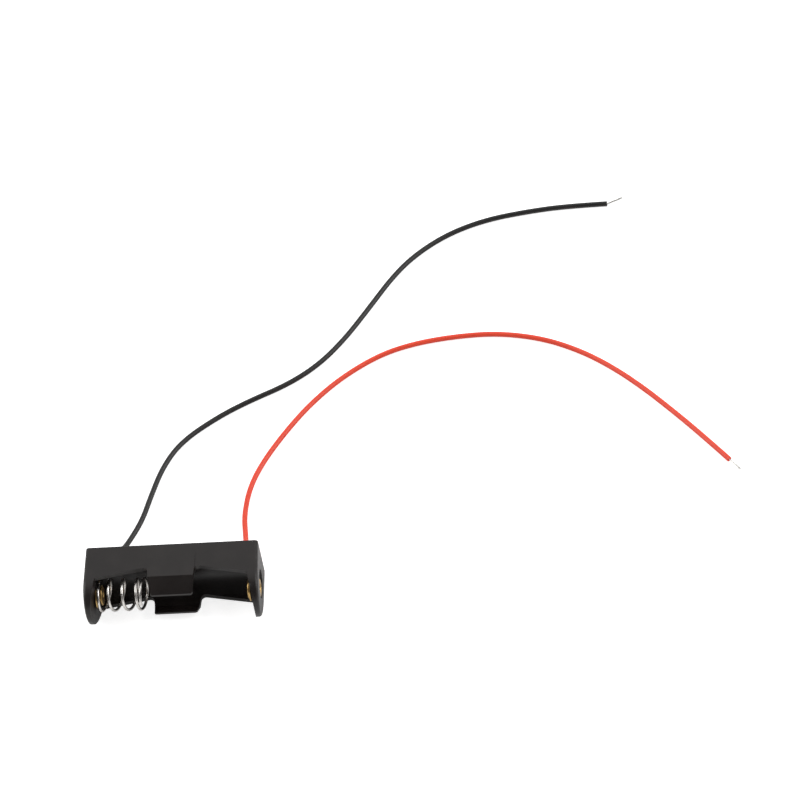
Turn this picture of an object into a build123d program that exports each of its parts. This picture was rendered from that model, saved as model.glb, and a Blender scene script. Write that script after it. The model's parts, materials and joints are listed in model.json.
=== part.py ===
from build123d import *
import os
from math import cos, pi, radians, sin, tan

# Miniature battery holder for one 12 V cell of 10.3 x 28.5 mm, with a spring contact, a fixed
# contact and two flying leads. It lies on one long side, with its bay open towards -Y.
# Millimetres. X runs along the cell, from the spring end to the fixed contact. Z = 0 is the
# face it lies on. Depths are measured from the back face, towards the opening.

# The cell that the bay is made for
CELL_DIAMETER = 10.3
CELL_LENGTH = 28.5
CELL_CLEARANCE = 0.1
LOADED_SPRING_LENGTH = 5.05

# Housing
HOUSING_DEPTH = 15.1
FLOOR_THICKNESS = 2.35
SIDE_WALL_THICKNESS = 1.15
END_WALL_THICKNESS = 2.3
END_TIP_THICKNESS = 1.4
END_WALL_LEAN = 1.5
END_DOME_HEIGHT = 6.8
END_EDGE_RADIUS = 0.7
BACK_EDGE_RADIUS = 0.2
RAIL_DEPTH_AT_TAB = 6.0
RAIL_DEPTH_AT_END = 8.2
RAIL_TAB_RADIUS = 1.1
RAIL_END_RADIUS = 0.5

# Snap tab in the middle of each side wall, on a slightly raised pad
TAB_ROOT_WIDTH = 10.7
TAB_TIP_WIDTH = 9.5
TAB_DEPTH = 11.9
TAB_CREASE_DEPTH = 8.7
TAB_LEAN = 40.2
TAB_TIP_THICKNESS = 0.6
TAB_CORNER_RADIUS = 0.6
PAD_RISE = 0.15
PAD_RAMP_START = 1.8
PAD_RAMP_END = 4.6

# Tubular rivets, on an axis a little nearer the opening than the cell's
CONTACT_DEPTH = 8.7
RIVET_HEAD_DIAMETER = 4.5
RIVET_HEAD_THICKNESS = 0.45
RIVET_HEAD_EDGE_RADIUS = 0.2
RIVET_BARREL_DIAMETER = 2.6
RIVET_BORE = 1.6
RIVET_FLANGE_DIAMETER = 4.3
RIVET_FLANGE_THICKNESS = 0.45
RIVET_FLANGE_EDGE_RADIUS = 0.2
RIVET_HOLE_CLEARANCE = 0.05
RIVET_WEB_THICKNESS = 1.6
RIVET_RECESS_DIAMETER = 6.6

# Solder tags
TAG_THICKNESS = 0.3
TAG_RING_DIAMETER = 5.6
TAG_TAIL_WIDTH = 2.4
TAG_TAIL_SETBACK = 1.7
TAG_POCKET_CLEARANCE = 0.1

# Spring: past its base turn the turns lean, back half and lower half towards the cell
SPRING_WIRE_DIAMETER = 0.65
SPRING_OUTER_DIAMETER = 7.5
SPRING_SEAT_CLEARANCE = 0.03
SPRING_START_ANGLE = -80.0
SPRING_HOOK_TURNS = 0.7
SPRING_ACTIVE_PITCH = 3.1
SPRING_TIP_PITCH = 0.6
SPRING_BASE_TURNS = 0.46
SPRING_RAMP_TURNS = 0.4
SPRING_ACTIVE_TURNS = 2.66
SPRING_TIP_TURNS = 0.78
SPRING_BACK_LEAN = 9.4
SPRING_LOWER_LEAN = 3.1
SPRING_LEAN_START = 0.53
SPRING_LEAN_TURNS = 0.6

# Leads
LEAD_DIAMETER = 1.2
CONDUCTOR_DIAMETER = 0.75
INSULATION_SETBACK = 1.5
CONDUCTOR_INNER_LENGTH = 2.1
SOLDER_FILM = 0.08
SOLDER_RADIUS = 0.75
SOLDER_LENGTH = 1.7
WINDOW_END_CLEARANCE = 0.5
WINDOW_WIDTH = 3.0

# Sizes that follow from the ones above
bay_radius = CELL_DIAMETER / 2 + CELL_CLEARANCE
bay_length = CELL_LENGTH + LOADED_SPRING_LENGTH + RIVET_HEAD_THICKNESS
bay_half = bay_length / 2
body_half = bay_half + END_WALL_THICKNESS
wall_half_width = bay_radius + SIDE_WALL_THICKNESS
body_half_width = wall_half_width + PAD_RISE
mid_z = body_half_width
back = HOUSING_DEPTH / 2
axis_depth = FLOOR_THICKNESS + bay_radius
axis_y = back - axis_depth
contact_y = back - CONTACT_DEPTH
dome_depth = HOUSING_DEPTH - END_DOME_HEIGHT
web_face = bay_half + TAG_THICKNESS + RIVET_WEB_THICKNESS
clamped_seat = bay_half - SPRING_WIRE_DIAMETER - 2 * SPRING_SEAT_CLEARANCE
lobe_face_x = body_half + tan(radians(END_WALL_LEAN)) * HOUSING_DEPTH - END_TIP_THICKNESS
lead_x = bay_half - SOLDER_FILM - CONDUCTOR_DIAMETER / 2
window_inner_x = lead_x - LEAD_DIAMETER / 2 - WINDOW_END_CLEARANCE


def at_depth(depth):
    """Y of a place this deep in front of the back face."""
    return back - depth


def end_face_x(depth):
    """X of the right end's leaning outer face at a depth."""
    return body_half + tan(radians(END_WALL_LEAN)) * depth


def tab_half_width(depth):
    """Half the width of a snap tab at a depth: it narrows from its root to its tip."""
    share = (depth - RAIL_DEPTH_AT_TAB) / (TAB_DEPTH - RAIL_DEPTH_AT_TAB)
    return (TAB_ROOT_WIDTH + (TAB_TIP_WIDTH - TAB_ROOT_WIDTH) * share) / 2


def end_plane(x, side):
    """Plane across the contacts' axis, x away from the middle, facing outwards."""
    return Plane(origin=(side * x, contact_y, mid_z), x_dir=(0, side, 0), z_dir=(side, 0, 0))


# Snap tabs, with the raised pad that they grow from, as they join the two side walls
tab_drop = tan(radians(TAB_LEAN)) * (TAB_DEPTH - TAB_CREASE_DEPTH)
with BuildPart() as snap_tabs:
    with BuildSketch(Plane.YZ):
        with BuildLine():
            Polyline(
                (at_depth(PAD_RAMP_START), mid_z + wall_half_width),
                (at_depth(PAD_RAMP_END), mid_z + body_half_width),
                (at_depth(TAB_CREASE_DEPTH), mid_z + body_half_width),
                (at_depth(TAB_DEPTH), mid_z + body_half_width - tab_drop),
                (at_depth(TAB_DEPTH), mid_z + body_half_width - tab_drop - TAB_TIP_THICKNESS),
                (at_depth(TAB_CREASE_DEPTH), mid_z + bay_radius),
                (at_depth(axis_depth), mid_z + bay_radius),
                (at_depth(PAD_RAMP_START), mid_z + wall_half_width - SIDE_WALL_THICKNESS / 2),
                close=True,
            )
        make_face()
    extrude(amount=TAB_ROOT_WIDTH / 2, both=True)
    mirror(about=Plane.XY.offset(mid_z))
    with BuildSketch(Plane.YZ):
        with Locations((axis_y, mid_z)):
            Circle(bay_radius)
    extrude(amount=TAB_ROOT_WIDTH / 2, both=True, mode=Mode.SUBTRACT)
    with BuildSketch(Plane.XY):
        with BuildLine():
            Polyline(
                (-TAB_ROOT_WIDTH / 2, back),
                (-TAB_ROOT_WIDTH / 2, at_depth(RAIL_DEPTH_AT_TAB)),
                (-TAB_TIP_WIDTH / 2, at_depth(TAB_DEPTH)),
                (TAB_TIP_WIDTH / 2, at_depth(TAB_DEPTH)),
                (TAB_ROOT_WIDTH / 2, at_depth(RAIL_DEPTH_AT_TAB)),
                (TAB_ROOT_WIDTH / 2, back),
                close=True,
            )
        tab_outline = make_face()
        fillet(tab_outline.vertices().group_by(Axis.Y)[0], TAB_CORNER_RADIUS)
    extrude(amount=2 * mid_z, mode=Mode.INTERSECT)

# Housing: floor, side walls with sloping rails, domed end walls
with BuildPart() as housing:
    with BuildSketch(Plane.XY.offset(PAD_RISE)):
        with BuildLine():
            Polyline(
                (-body_half, back),
                (body_half, back),
                (end_face_x(HOUSING_DEPTH), -back),
                (-end_face_x(HOUSING_DEPTH), -back),
                close=True,
            )
        make_face()
    extrude(amount=2 * wall_half_width)
    with BuildSketch(Plane.YZ):
        with Locations((back, mid_z)):
            Rectangle(dome_depth, 2 * wall_half_width, align=(Align.MAX, Align.CENTER))
        with Locations((at_depth(dome_depth), mid_z)):
            Ellipse(END_DOME_HEIGHT, wall_half_width)
    extrude(amount=2 * body_half, both=True, mode=Mode.INTERSECT)
    outer_ends = housing.faces().filter_by(GeomType.PLANE).sort_by(Axis.X)
    for outer_end in (outer_ends[0], outer_ends[-1]):
        fillet(outer_end.edges().sort_by(Axis.Y)[:-1], END_EDGE_RADIUS)
    fillet(housing.faces().sort_by(Axis.Y)[-1].edges(), BACK_EDGE_RADIUS)
    # Bay: a trough that cradles the cell, open to the front
    with BuildSketch(Plane.YZ):
        with Locations((axis_y, mid_z)):
            Circle(bay_radius)
            Rectangle(HOUSING_DEPTH, 2 * bay_radius, align=(Align.MAX, Align.CENTER))
    extrude(amount=bay_half, both=True, mode=Mode.SUBTRACT)
    # Rails: each side wall is cut down from the snap tabs to the end walls
    with BuildSketch(Plane.XY) as rails:
        with BuildLine():
            Polyline(
                (-bay_half, at_depth(RAIL_DEPTH_AT_END)),
                (-TAB_ROOT_WIDTH / 2, at_depth(RAIL_DEPTH_AT_TAB)),
                (-tab_half_width(TAB_CREASE_DEPTH), at_depth(TAB_CREASE_DEPTH)),
                (tab_half_width(TAB_CREASE_DEPTH), at_depth(TAB_CREASE_DEPTH)),
                (TAB_ROOT_WIDTH / 2, at_depth(RAIL_DEPTH_AT_TAB)),
                (bay_half, at_depth(RAIL_DEPTH_AT_END)),
                (lobe_face_x, -back),
                (lobe_face_x, -2 * back),
                (-lobe_face_x, -2 * back),
                (-lobe_face_x, -back),
                close=True,
            )
        make_face()
        rail_ends = rails.vertices().filter_by_position(
            Axis.Y, at_depth(RAIL_DEPTH_AT_END), at_depth(RAIL_DEPTH_AT_END)
        )
        fillet(rail_ends, RAIL_END_RADIUS)
        fillet(rails.vertices().group_by(Axis.Y)[-1], RAIL_TAB_RADIUS)
    extrude(amount=2 * mid_z, mode=Mode.SUBTRACT)
    add(snap_tabs.part)
    # End walls: a recess from outside, and a rivet hole through the web that it leaves
    recess_start = end_face_x(HOUSING_DEPTH)
    for side in (-1, 1):
        with BuildSketch(end_plane(web_face, side)):
            with Locations((side * (axis_y - contact_y), 0)):
                Circle(RIVET_RECESS_DIAMETER / 2)
        extrude(amount=recess_start - web_face, mode=Mode.SUBTRACT)
    with Locations(end_plane(recess_start, -1), end_plane(recess_start, 1)):
        Hole(
            radius=RIVET_BARREL_DIAMETER / 2 + RIVET_HOLE_CLEARANCE,
            depth=recess_start - bay_half,
        )
    # Inside each end wall: a pocket that takes the solder tag flush, down through the floor
    for side in (-1, 1):
        with BuildSketch(end_plane(bay_half, side)):
            Circle(TAG_RING_DIAMETER / 2 + TAG_POCKET_CLEARANCE)
            with Locations(Rotation(0, 0, 0 if side > 0 else 180)):
                Rectangle(
                    HOUSING_DEPTH,
                    TAG_TAIL_WIDTH + 2 * TAG_POCKET_CLEARANCE,
                    align=(Align.MIN, Align.CENTER),
                )
        extrude(amount=TAG_THICKNESS, mode=Mode.SUBTRACT)
    # Floor: a window beside each end wall, for the lead
    with BuildSketch(Plane.XZ.offset(-back)):
        with Locations((window_inner_x, mid_z)):
            Rectangle(bay_half - window_inner_x, WINDOW_WIDTH, align=(Align.MIN, Align.CENTER))
        mirror(about=Plane.YZ)
    extrude(amount=axis_depth, mode=Mode.SUBTRACT)
housing.part.label = "housing"


def rivet_outline(side, seat):
    """Half section of a tubular rivet at one side, its head seated this far from the middle."""
    head_face = seat - RIVET_HEAD_THICKNESS
    flange_face = web_face + RIVET_FLANGE_THICKNESS
    return [
        (side * head_face, RIVET_BORE / 2),
        (side * head_face, RIVET_HEAD_DIAMETER / 2),
        (side * seat, RIVET_HEAD_DIAMETER / 2),
        (side * seat, RIVET_BARREL_DIAMETER / 2),
        (side * web_face, RIVET_BARREL_DIAMETER / 2),
        (side * web_face, RIVET_FLANGE_DIAMETER / 2),
        (side * flange_face, RIVET_FLANGE_DIAMETER / 2),
        (side * flange_face, RIVET_BORE / 2),
    ]


# Rivets: the head clamps the solder tag, and at the spring end the spring's inner hook too
rivet_section = Plane(origin=(0, contact_y, mid_z), x_dir=(1, 0, 0), z_dir=(0, -1, 0))
rivet_axis = Axis((0, contact_y, mid_z), (1, 0, 0))
with BuildPart() as positive_rivet:
    with BuildSketch(rivet_section):
        with BuildLine():
            Polyline(*rivet_outline(1, bay_half), close=True)
        make_face()
    revolve(axis=rivet_axis)
    fillet(positive_rivet.edges().group_by(Axis.X)[0], RIVET_HEAD_EDGE_RADIUS)
    fillet(positive_rivet.edges().group_by(Axis.X)[-1], RIVET_FLANGE_EDGE_RADIUS)
positive_rivet.part.label = "positive_rivet"

with BuildPart() as negative_rivet:
    with BuildSketch(rivet_section):
        with BuildLine():
            Polyline(*rivet_outline(-1, clamped_seat), close=True)
        make_face()
    revolve(axis=rivet_axis)
    fillet(negative_rivet.edges().group_by(Axis.X)[-1], RIVET_HEAD_EDGE_RADIUS)
    fillet(negative_rivet.edges().group_by(Axis.X)[0], RIVET_FLANGE_EDGE_RADIUS)
negative_rivet.part.label = "negative_rivet"

# Solder tags: a ring under each rivet's head, with a tail down into the floor's window
with BuildPart() as positive_tag:
    with BuildSketch(end_plane(bay_half, 1)):
        Circle(TAG_RING_DIAMETER / 2)
        Rectangle(
            CONTACT_DEPTH - TAG_TAIL_SETBACK, TAG_TAIL_WIDTH, align=(Align.MIN, Align.CENTER)
        )
        Circle(RIVET_BARREL_DIAMETER / 2 + RIVET_HOLE_CLEARANCE, mode=Mode.SUBTRACT)
    extrude(amount=TAG_THICKNESS)
positive_tag.part.label = "positive_tag"

with BuildPart() as negative_tag:
    mirror(positive_tag.part, about=Plane.YZ)
negative_tag.part.label = "negative_tag"

# Spring: a right-hand coil whose base turn winds inwards to a hook under the rivet's head
spring_radius = (SPRING_OUTER_DIAMETER - SPRING_WIRE_DIAMETER) / 2
hook_radius = (RIVET_BARREL_DIAMETER + SPRING_WIRE_DIAMETER) / 2 + RIVET_HOLE_CLEARANCE
spring_ramp_start = SPRING_BASE_TURNS
spring_ramp_end = spring_ramp_start + SPRING_RAMP_TURNS
spring_slow_end = spring_ramp_end + SPRING_ACTIVE_TURNS + SPRING_RAMP_TURNS
spring_turns = spring_slow_end + SPRING_TIP_TURNS


def spring_pitch(turn):
    """Pitch at a turn, counted from the base: flat, open, and close at the tip."""
    end_pitch = 0.0 if turn < spring_ramp_end else SPRING_TIP_PITCH
    opened = (turn - spring_ramp_start) / SPRING_RAMP_TURNS
    closed = (spring_slow_end - turn) / SPRING_RAMP_TURNS
    share = max(0.0, min(1.0, opened, closed))
    return end_pitch + (SPRING_ACTIVE_PITCH - end_pitch) * share


def spring_lean(turn, y, z):
    """How far the lean moves a place on the coil along the cell, growing in from the base turn."""
    grown = max(0.0, min(1.0, (turn - SPRING_LEAN_START) / SPRING_LEAN_TURNS))
    back_share = tan(radians(SPRING_BACK_LEAN)) * (y - contact_y)
    lower_share = tan(radians(SPRING_LOWER_LEAN)) * (mid_z - z)
    return grown * grown * (3 - 2 * grown) * (back_share + lower_share)


def spring_points(steps_per_turn):
    """Points on the coil's centre line, from the base turn to the free tip."""
    steps = round(spring_turns * steps_per_turn)
    step = spring_turns / steps
    x = -bay_half + SPRING_WIRE_DIAMETER / 2 + SPRING_SEAT_CLEARANCE
    points = []
    for index in range(steps + 1):
        turn = index * step
        angle = radians(SPRING_START_ANGLE + 360 * turn)
        unwound = min(1.0, turn / SPRING_HOOK_TURNS)
        radius = hook_radius + (spring_radius - hook_radius) * (1 - cos(pi * unwound)) / 2
        y = contact_y + radius * cos(angle)
        z = mid_z + radius * sin(angle)
        points.append((x + spring_lean(turn, y, z), y, z))
        x += spring_pitch(turn + step / 2) * step
    return points


with BuildPart() as spring:
    with BuildLine() as coil:
        Spline(*spring_points(12))
    with BuildSketch(Plane(origin=coil.line @ 0, z_dir=coil.line % 0)):
        Circle(SPRING_WIRE_DIAMETER / 2)
    sweep(path=coil.line, is_frenet=True)
spring.part.label = "spring"

# Leads: soldered to the tags, out through the floor's windows and down to lie on the surface
lead_start_y = at_depth(INSULATION_SETBACK)
lead_floor_z = LEAD_DIAMETER / 2
black_route = [
    (-lead_x, lead_start_y, mid_z),
    (-lead_x, back + 0.7, mid_z),
    (-15.95, back + 2.7, 5.75),
    (-14.35, back + 4.65, 3.75),
    (-12.5, back + 6.7, 1.7),
    (-11.55, back + 9.6, lead_floor_z),
    (-9.6, back + 15.2, lead_floor_z),
    (-7.7, back + 21.6, lead_floor_z),
    (-4.8, back + 29.5, lead_floor_z),
    (0.0, back + 36.8, lead_floor_z),
    (6.6, back + 42.5, lead_floor_z),
    (14.2, back + 46.9, lead_floor_z),
    (22.8, back + 51.4, lead_floor_z),
    (30.0, back + 57, lead_floor_z),
    (35.7, back + 63.4, lead_floor_z),
    (40.7, back + 71, lead_floor_z),
    (46.4, back + 80, lead_floor_z),
    (52.2, back + 86.4, lead_floor_z),
    (59.1, back + 91.4, lead_floor_z),
    (67.8, back + 95, lead_floor_z),
    (77.6, back + 97, lead_floor_z),
    (86.6, back + 97.8, lead_floor_z),
    (95.1, back + 98.1, lead_floor_z),
]
red_route = [
    (lead_x, lead_start_y, mid_z),
    (lead_x, back + 0.8, mid_z),
    (16.3, back + 2.8, 5.75),
    (15.9, back + 4.8, 3.9),
    (15.2, back + 6.8, 1.85),
    (14.5, back + 10, lead_floor_z),
    (14.2, back + 15.5, lead_floor_z),
    (15.4, back + 22.6, lead_floor_z),
    (18.6, back + 31, lead_floor_z),
    (23.1, back + 38.7, lead_floor_z),
    (28.7, back + 45.8, lead_floor_z),
    (35.3, back + 52, lead_floor_z),
    (43.6, back + 57.5, lead_floor_z),
    (52.4, back + 60.9, lead_floor_z),
    (61.0, back + 62.4, lead_floor_z),
    (70.5, back + 62.4, lead_floor_z),
    (81.1, back + 60, lead_floor_z),
    (89.2, back + 56.5, lead_floor_z),
    (96.5, back + 51.7, lead_floor_z),
    (103.9, back + 45.3, lead_floor_z),
    (111.1, back + 38, lead_floor_z),
    (117.3, back + 31.1, lead_floor_z),
    (123.2, back + 24.3, lead_floor_z),
]
# Bare ends, from the insulation's cut end: the splayed strands point a little aside
black_bare_route = [
    (95.1, back + 98.1, lead_floor_z),
    (96.5, back + 98.15, lead_floor_z),
    (99.1, back + 99.5, lead_floor_z),
]
red_bare_route = [
    (123.2, back + 24.3, lead_floor_z),
    (124.1, back + 23.26, lead_floor_z),
    (126.1, back + 21.4, lead_floor_z),
]


def corner_radii(route):
    """Arc radius at each corner of a route: 0.45 of its shorter run over tan(half the turn)."""
    points = [Vector(point) for point in route]
    radii = []
    for before, corner, after in zip(points, points[1:], points[2:]):
        run = min((corner - before).length, (after - corner).length)
        half_turn = radians((corner - before).get_angle(after - corner) / 2)
        radii.append(0.45 * run / tan(half_turn))
    return radii


with BuildPart() as black_lead:
    with BuildLine() as black_path:
        FilletPolyline(*black_route, radius=corner_radii(black_route))
    with BuildSketch(Plane(origin=black_path.line @ 0, z_dir=black_path.line % 0)):
        Circle(LEAD_DIAMETER / 2)
    sweep(path=black_path.line)
black_lead.part.label = "black_lead"

with BuildPart() as red_lead:
    with BuildLine() as red_path:
        FilletPolyline(*red_route, radius=corner_radii(red_route))
    with BuildSketch(Plane(origin=red_path.line @ 0, z_dir=red_path.line % 0)):
        Circle(LEAD_DIAMETER / 2)
    sweep(path=red_path.line)
red_lead.part.label = "red_lead"

with BuildPart() as black_bare_end:
    with BuildLine() as black_bare_path:
        FilletPolyline(*black_bare_route, radius=corner_radii(black_bare_route))
    with BuildSketch(Plane(origin=black_path.line @ 1, z_dir=black_path.line % 1)):
        Circle(CONDUCTOR_DIAMETER / 2)
    sweep(path=black_bare_path.line)
black_bare_end.part.label = "black_bare_end"

with BuildPart() as red_bare_end:
    with BuildLine() as red_bare_path:
        FilletPolyline(*red_bare_route, radius=corner_radii(red_bare_route))
    with BuildSketch(Plane(origin=red_path.line @ 1, z_dir=red_path.line % 1)):
        Circle(CONDUCTOR_DIAMETER / 2)
    sweep(path=red_bare_path.line)
red_bare_end.part.label = "red_bare_end"

# Inner conductor ends, laid along the tags' tails, and the solder that holds them there
with BuildPart() as positive_conductor:
    with BuildSketch(Plane(origin=(lead_x, lead_start_y, mid_z), z_dir=(0, -1, 0))):
        Circle(CONDUCTOR_DIAMETER / 2)
    extrude(amount=CONDUCTOR_INNER_LENGTH)
positive_conductor.part.label = "positive_conductor"

with BuildPart() as negative_conductor:
    mirror(positive_conductor.part, about=Plane.YZ)
negative_conductor.part.label = "negative_conductor"

solder_y = lead_start_y - CONDUCTOR_INNER_LENGTH / 2


def solder_joint(side):
    """Solder round the conductor at one side, flat against its tag."""
    with BuildPart() as joint:
        with BuildSketch(Plane(origin=(side * lead_x, solder_y, mid_z), z_dir=(0, 0, 1))):
            Ellipse(SOLDER_RADIUS, SOLDER_LENGTH / 2)
            with Locations((CONDUCTOR_DIAMETER / 2, 0)):
                Rectangle(
                    SOLDER_LENGTH, SOLDER_LENGTH, align=(Align.MAX, Align.CENTER), mode=Mode.SUBTRACT
                )
        revolve(axis=Axis((side * lead_x, solder_y, mid_z), (0, 1, 0)))
        split(bisect_by=Plane(origin=(side * bay_half, 0, 0), z_dir=(side, 0, 0)), keep=Keep.BOTTOM)
    return joint


positive_solder = solder_joint(1)
positive_solder.part.label = "positive_solder"
negative_solder = solder_joint(-1)
negative_solder.part.label = "negative_solder"

# Cord radii and lengths
for name, route, path in (
    ("black lead", black_route, black_path),
    ("red lead", red_route, red_path),
    ("black bare end", black_bare_route, black_bare_path),
    ("red bare end", red_bare_route, red_bare_path),
):
    radii = ", ".join(f"{radius:.1f}" for radius in corner_radii(route))
    print(f"{name}: length {path.wire().length:.1f} mm, radii {radii}")

os.makedirs("parts", exist_ok=True)
export_step(housing.part, "parts/housing.step")
export_step(positive_rivet.part, "parts/positive_rivet.step")
export_step(negative_rivet.part, "parts/negative_rivet.step")
export_step(positive_tag.part, "parts/positive_tag.step")
export_step(negative_tag.part, "parts/negative_tag.step")
export_step(spring.part, "parts/spring.step")
export_step(positive_conductor.part, "parts/positive_conductor.step")
export_step(negative_conductor.part, "parts/negative_conductor.step")
export_step(positive_solder.part, "parts/positive_solder.step")
export_step(negative_solder.part, "parts/negative_solder.step")
export_step(black_lead.part, "parts/black_lead.step")
export_step(red_lead.part, "parts/red_lead.step")
export_step(black_bare_end.part, "parts/black_bare_end.step")
export_step(red_bare_end.part, "parts/red_bare_end.step")
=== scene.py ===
"""A miniature battery holder on a white surface: its looks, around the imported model."""

import json
import logging
from dataclasses import dataclass, field
from enum import Enum
from math import ceil, cos, pi, radians, sin, tan

import bpy
from mathutils import Matrix, Vector

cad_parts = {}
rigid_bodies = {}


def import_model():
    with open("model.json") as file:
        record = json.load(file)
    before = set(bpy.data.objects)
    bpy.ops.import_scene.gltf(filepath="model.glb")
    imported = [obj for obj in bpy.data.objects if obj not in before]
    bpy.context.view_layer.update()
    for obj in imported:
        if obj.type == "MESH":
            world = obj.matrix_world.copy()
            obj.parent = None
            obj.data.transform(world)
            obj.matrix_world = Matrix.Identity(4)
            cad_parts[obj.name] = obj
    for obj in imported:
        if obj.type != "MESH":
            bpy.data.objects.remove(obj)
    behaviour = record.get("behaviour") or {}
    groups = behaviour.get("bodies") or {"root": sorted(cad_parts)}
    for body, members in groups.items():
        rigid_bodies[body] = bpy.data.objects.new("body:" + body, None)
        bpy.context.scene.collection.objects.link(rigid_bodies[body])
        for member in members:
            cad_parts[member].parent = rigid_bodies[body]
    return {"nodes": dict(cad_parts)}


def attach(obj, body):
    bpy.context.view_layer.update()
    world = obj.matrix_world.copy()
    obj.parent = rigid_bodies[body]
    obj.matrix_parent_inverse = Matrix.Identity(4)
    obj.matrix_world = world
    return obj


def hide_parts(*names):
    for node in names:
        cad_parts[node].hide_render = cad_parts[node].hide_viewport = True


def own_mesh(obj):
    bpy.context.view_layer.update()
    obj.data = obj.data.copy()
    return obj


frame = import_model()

logging.basicConfig(level=logging.INFO, format="%(name)s: %(message)s")
log = logging.getLogger("battery_holder")

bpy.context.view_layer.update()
MM = 0.001
PATTERN_MIDDLE = 0.5
JOIN_DISTANCE = 0.0001 * MM

Point = tuple[float, float, float]
Colour = tuple[float, float, float, float]
Range = tuple[float, float]
Profile = tuple[tuple[float, float], ...]


# Places that the pieces share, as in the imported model


@dataclass(frozen=True)
class Layout:
    """Places that several pieces share, in metres.

    Attributes:
        bay_half: Half of the bay's length, out to the end walls' inner faces.
        web_face: Outer face of the web that each rivet holds, from the middle.
        window_x: Middle of the window that each lead leaves by, from the middle.
        contact_y: Y of the contacts' axis.
        mid_z: Z of that axis, halfway up the part as it lies.
        back: Y of the back face.
    """

    bay_half: float = 17.0 * MM
    web_face: float = 18.9 * MM
    window_x: float = 16.545 * MM
    contact_y: float = -1.15 * MM
    mid_z: float = 6.55 * MM
    back: float = 7.55 * MM


LAYOUT = Layout()


class Side(Enum):
    """The two ends of the holder, as the sign of their X."""

    SPRING = -1
    FIXED = 1


class SplineOrder(Enum):
    """How a curve follows its points, as the order of its spline."""

    STRAIGHT_RUNS = 2
    SMOOTH = 3


# Shader maths


class Signal:
    """A node's output, on which Python's operators add Math nodes."""

    def __init__(self, sheet: "NodeSheet", socket: bpy.types.NodeSocket) -> None:
        """Wraps a socket of the sheet's node tree.

        Args:
            sheet: The sheet.
            socket: The output.
        """
        self.sheet = sheet
        self.socket = socket

    def _math(self, operation: str, *operands: "Signal | float") -> "Signal":
        """Adds one Math node and returns its value.

        Args:
            operation: The node's operation.
            *operands: Its inputs, in order.

        Returns:
            The node's output.
        """
        values = dict(enumerate(operands))
        node = self.sheet.node("ShaderNodeMath", {"operation": operation}, values)
        return Signal(self.sheet, node.outputs[0])

    def __add__(self, other: "Signal | float") -> "Signal":
        """self + other."""
        return self._math("ADD", self, other)

    def __radd__(self, other: float) -> "Signal":
        """other + self."""
        return self._math("ADD", other, self)

    def __sub__(self, other: "Signal | float") -> "Signal":
        """self - other."""
        return self._math("SUBTRACT", self, other)

    def __rsub__(self, other: float) -> "Signal":
        """other - self."""
        return self._math("SUBTRACT", other, self)

    def __mul__(self, other: "Signal | float") -> "Signal":
        """self * other."""
        return self._math("MULTIPLY", self, other)

    def __rmul__(self, other: float) -> "Signal":
        """other * self."""
        return self._math("MULTIPLY", other, self)

    def larger(self, other: "Signal | float") -> "Signal":
        """The larger of the two."""
        return self._math("MAXIMUM", self, other)

    def swing(self, factor: float) -> "Signal":
        """How far a pattern is from its middle value, times a factor."""
        return (self - PATTERN_MIDDLE) * factor

    def ramp(self, low: float, high: float) -> "Signal":
        """Rises smoothly from 0 at low to 1 at high, or falls where low is the larger.

        Args:
            low: The value that gives 0.
            high: The value that gives 1.

        Returns:
            A value from 0 to 1.
        """
        node = self.sheet.node(
            "ShaderNodeMapRange",
            {"interpolation_type": "SMOOTHSTEP"},
            {"Value": self, "From Min": low, "From Max": high},
        )
        return Signal(self.sheet, node.outputs["Result"])


class NodeSheet:
    """A node tree that starts empty but for its output."""

    def __init__(self, tree: bpy.types.NodeTree, output_kind: str) -> None:
        """Empties a node tree and gives it its output.

        Args:
            tree: The tree.
            output_kind: The output node's type.
        """
        self.tree = tree
        self.tree.nodes.clear()
        self.output = self.tree.nodes.new(output_kind)

    def node(
        self, kind: str, settings: dict | None = None, inputs: dict | None = None
    ) -> bpy.types.Node:
        """Adds a node.

        Args:
            kind: The node's type.
            settings: Its own settings by name, set first.
            inputs: Values or signals of its sockets, by name or number.

        Returns:
            The new node.
        """
        node = self.tree.nodes.new(kind)
        for key, value in (settings or {}).items():
            setattr(node, key, value)
        for key, value in (inputs or {}).items():
            socket = node.inputs[key]
            if isinstance(value, Signal):
                self.tree.links.new(value.socket, socket)
            else:
                socket.default_value = value
        return node

    def show(self, shader: bpy.types.Node) -> None:
        """Links a shader to the output."""
        self.tree.links.new(shader.outputs[0], self.output.inputs["Surface"])


class MaterialSheet(NodeSheet):
    """The node tree of one material."""

    def __init__(self, name: str) -> None:
        """Makes the material.

        Args:
            name: Its name.
        """
        self.material = bpy.data.materials.new(name)
        self.material.use_nodes = True
        super().__init__(self.material.node_tree, "ShaderNodeOutputMaterial")

    def place(self) -> Signal:
        """The place on the piece, in metres."""
        return Signal(self, self.node("ShaderNodeTexCoord").outputs["Object"])

    def stretched(self, scale: Point) -> Signal:
        """The place, times a factor along each axis."""
        node = self.node("ShaderNodeMapping", {}, {"Vector": self.place(), "Scale": scale})
        return Signal(self, node.outputs[0])

    def mix(
        self, share: Signal | float, first: Colour | Signal, second: Colour | Signal
    ) -> Signal:
        """A colour between two.

        Args:
            share: 0 for the first colour, 1 for the second.
            first: The first colour.
            second: The second colour.

        Returns:
            The mixed colour.
        """
        node = self.node("ShaderNodeMix", {"data_type": "RGBA"}, {0: share, 6: first, 7: second})
        return Signal(self, node.outputs[2])

    def finish(self, **sockets: "Signal | float | Colour") -> bpy.types.Material:
        """Adds the Principled shader and shows it.

        Args:
            **sockets: Its sockets, with _ for each space in their names.

        Returns:
            The material.
        """
        values = {name.replace("_", " "): value for name, value in sockets.items()}
        self.show(self.node("ShaderNodeBsdfPrincipled", {}, values))
        return self.material


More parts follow.
